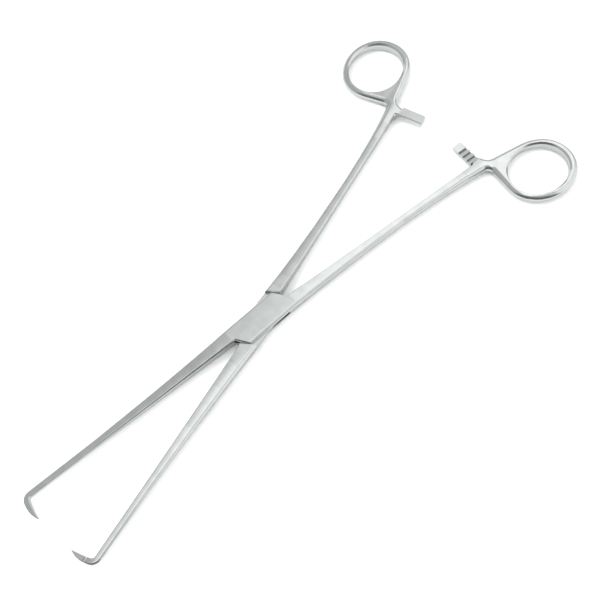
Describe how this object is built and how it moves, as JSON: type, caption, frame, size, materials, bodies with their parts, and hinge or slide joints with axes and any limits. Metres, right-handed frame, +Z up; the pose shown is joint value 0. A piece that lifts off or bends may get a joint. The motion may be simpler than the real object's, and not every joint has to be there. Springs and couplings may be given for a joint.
{
  "type": "tenaculum forceps",
  "caption": "Long surgical grasping forceps: finger-ring handles with ratchet arms, a riveted box lock and slim jaws whose hooked points turn in and pass side by side.",
  "frame": {"origin": "on the pivot axis, at the flat underside of the box, which the instrument lies on", "axes": "+X from the pivot towards the finger rings along the line midway between the handles, +Y towards the tongue half's ring, +Z up along the pivot axis"},
  "size_m": [0.2474, 0.1136, 0.0052],
  "materials": {
    "satin_steel": "satin ground stainless steel, neutral and slightly cool, with brighter rounded edges"
  },
  "bodies": {
    "box_half": {"box_half": "satin_steel", "joint_pin": "satin_steel"},
    "tongue_half": {"tongue_half": "satin_steel"}
  },
  "joints": [
    {"name": "box_lock", "type": "hinge", "parent": "box_half", "child": "tongue_half", "pos_m": [0, 0, 0.0026], "axis": [0, 0, 1], "range_deg": [-11.2, 30]}
  ]
}
